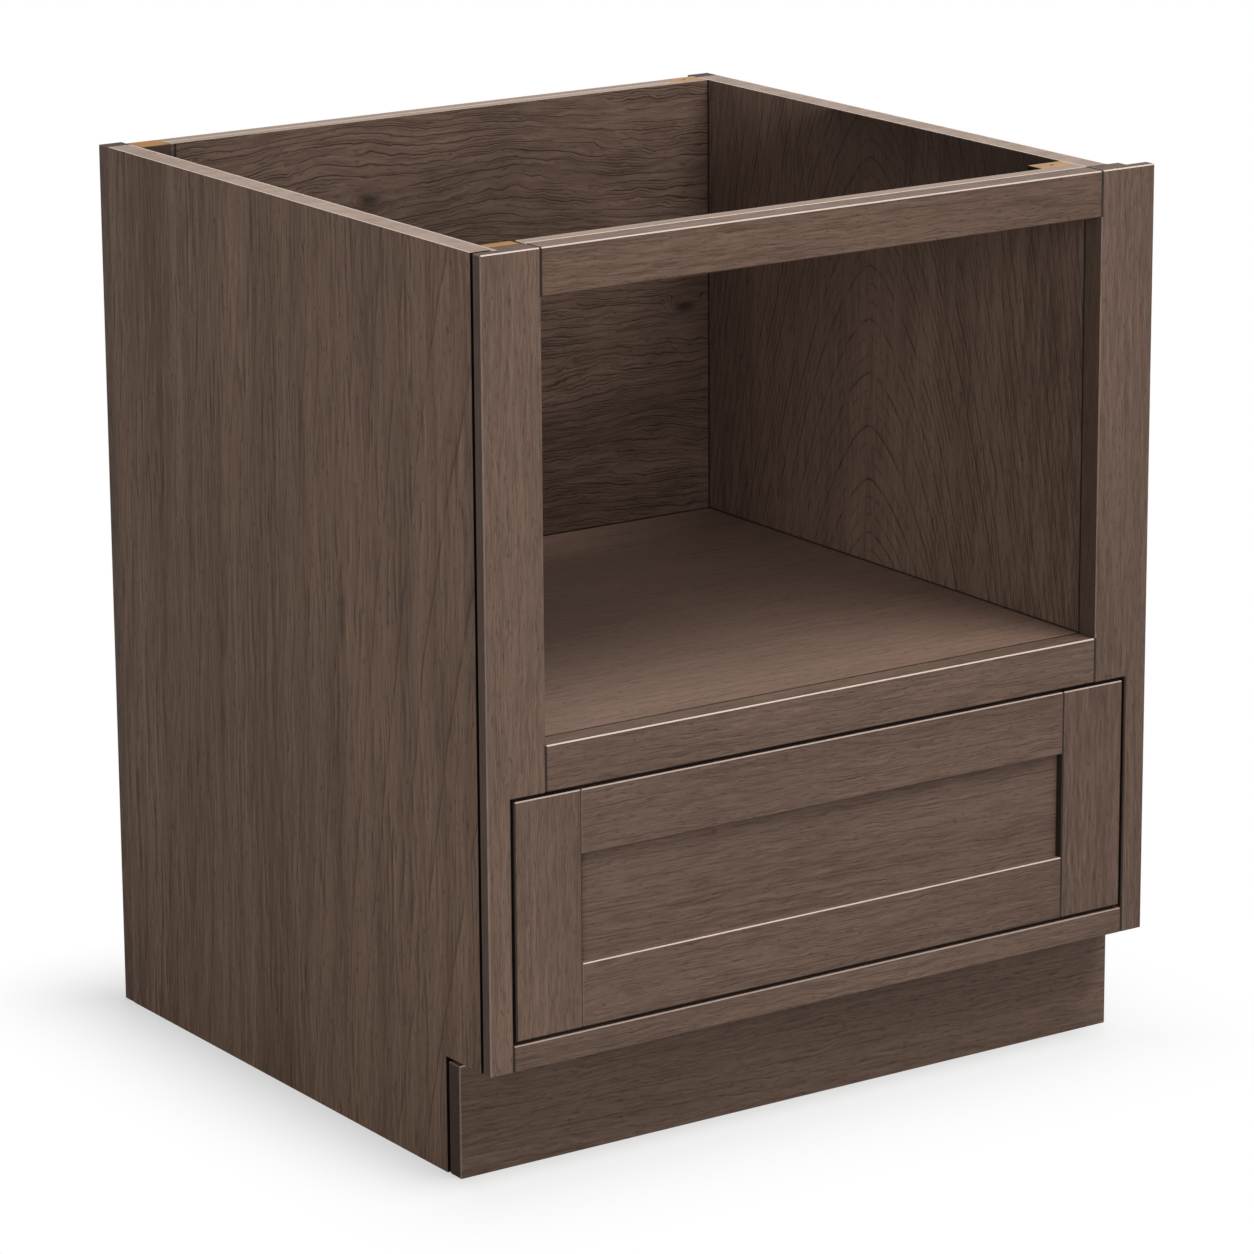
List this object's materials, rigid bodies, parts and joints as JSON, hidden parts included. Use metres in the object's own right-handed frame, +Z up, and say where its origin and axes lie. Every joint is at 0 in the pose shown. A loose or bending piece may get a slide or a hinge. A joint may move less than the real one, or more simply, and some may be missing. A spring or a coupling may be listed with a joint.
{
  "type": "microwave cabinet",
  "caption": "Face-frame base cabinet for a microwave oven, with an open top, an open bay and shelf, an inset flat-panel drawer on full-extension slides and a recessed toe space.",
  "frame": {"origin": "on the floor, in the middle of the cabinet's width and depth", "axes": "+Z up, +Y from the front to the back, +X to the right as seen from the front"},
  "size_m": [0.762, 0.6858, 0.8763],
  "materials": {
    "stained_oak": "dark taupe stain under satin lacquer",
    "stained_oak_side": "dark taupe stain under satin lacquer",
    "raw_oak": "bare sawn edge",
    "raw_pine": "bare planed",
    "birch": "clear satin lacquer",
    "slide_steel": "bright zinc plated",
    "ball_steel": "polished hardened steel",
    "screw_steel": "zinc plated"
  },
  "bodies": {
    "root": {"side_panel_left": "stained_oak_side", "side_panel_right": "stained_oak_side", "edge_strip_left": "stained_oak", "edge_strip_right": "stained_oak", "corner_post_front_left": "raw_pine", "corner_post_front_right": "raw_pine", "corner_post_back_left": "raw_pine", "corner_post_back_right": "raw_pine", "bay_liner_left": "stained_oak", "bay_wall_right": "stained_oak", "bay_wall_strip_right": "stained_oak", "corner_block_front_right": "raw_pine", "corner_block_back_right": "raw_pine", "back_panel": "stained_oak", "back_nailer_top": "raw_oak", "back_nailer_bottom": "raw_oak", "top_stretcher": "raw_oak", "shelf": "stained_oak", "shelf_cleat_left": "raw_pine", "shelf_cleat_right": "raw_pine", "shelf_cleat_back": "raw_pine", "bottom_panel": "birch", "base_rail_front": "birch", "base_rail_middle": "birch", "base_rail_back": "birch", "toe_board": "stained_oak_side", "stile_left": "stained_oak", "stile_right": "stained_oak", "top_rail": "stained_oak", "mid_rail": "stained_oak", "bottom_rail": "stained_oak", "frame_dowels": "birch", "nailer_screws": "screw_steel", "cleat_screws": "screw_steel", "toe_board_screws": "screw_steel", "slide_cabinet_member_left": "slide_steel", "slide_cabinet_member_right": "slide_steel", "slide_cabinet_screws": "screw_steel"},
    "drawer": {"drawer_front_stile_left": "stained_oak", "drawer_front_stile_right": "stained_oak", "drawer_front_rail_top": "stained_oak", "drawer_front_rail_bottom": "stained_oak", "drawer_front_panel": "stained_oak", "drawer_box_front": "birch", "drawer_box_back": "birch", "drawer_side_left": "birch", "drawer_side_right": "birch", "drawer_bottom": "birch", "drawer_front_screws": "screw_steel", "slide_drawer_member_left": "slide_steel", "slide_drawer_member_right": "slide_steel", "slide_drawer_screws": "screw_steel"},
    "slide_middle_left": {"slide_middle_member_left": "slide_steel"},
    "outer_balls_left": {"slide_outer_balls_left": "ball_steel"},
    "inner_balls_left": {"slide_inner_balls_left": "ball_steel"},
    "slide_middle_right": {"slide_middle_member_right": "slide_steel"},
    "outer_balls_right": {"slide_outer_balls_right": "ball_steel"},
    "inner_balls_right": {"slide_inner_balls_right": "ball_steel"}
  },
  "joints": [
    {"name": "drawer_slide", "type": "slide", "parent": "root", "child": "drawer", "axis": [0, -1, 0], "range_m": [0, 0.55]},
    {"name": "middle_slide_left", "type": "slide", "parent": "root", "child": "slide_middle_left", "axis": [0, -1, 0], "range_m": [0, 0.275]},
    {"name": "middle_slide_right", "type": "slide", "parent": "root", "child": "slide_middle_right", "axis": [0, -1, 0], "range_m": [0, 0.275]},
    {"name": "outer_balls_roll_left", "type": "slide", "parent": "root", "child": "outer_balls_left", "axis": [0, -1, 0], "range_m": [0, 0.1375]},
    {"name": "outer_balls_roll_right", "type": "slide", "parent": "root", "child": "outer_balls_right", "axis": [0, -1, 0], "range_m": [0, 0.1375]},
    {"name": "inner_balls_roll_left", "type": "slide", "parent": "root", "child": "inner_balls_left", "axis": [0, -1, 0], "range_m": [0, 0.4125]},
    {"name": "inner_balls_roll_right", "type": "slide", "parent": "root", "child": "inner_balls_right", "axis": [0, -1, 0], "range_m": [0, 0.4125]}
  ],
  "couplings": [
    {"joint": "middle_slide_left", "follows": "drawer_slide", "ratio": 0.5},
    {"joint": "middle_slide_right", "follows": "drawer_slide", "ratio": 0.5},
    {"joint": "outer_balls_roll_left", "follows": "drawer_slide", "ratio": 0.25},
    {"joint": "outer_balls_roll_right", "follows": "drawer_slide", "ratio": 0.25},
    {"joint": "inner_balls_roll_left", "follows": "drawer_slide", "ratio": 0.75},
    {"joint": "inner_balls_roll_right", "follows": "drawer_slide", "ratio": 0.75}
  ]
}
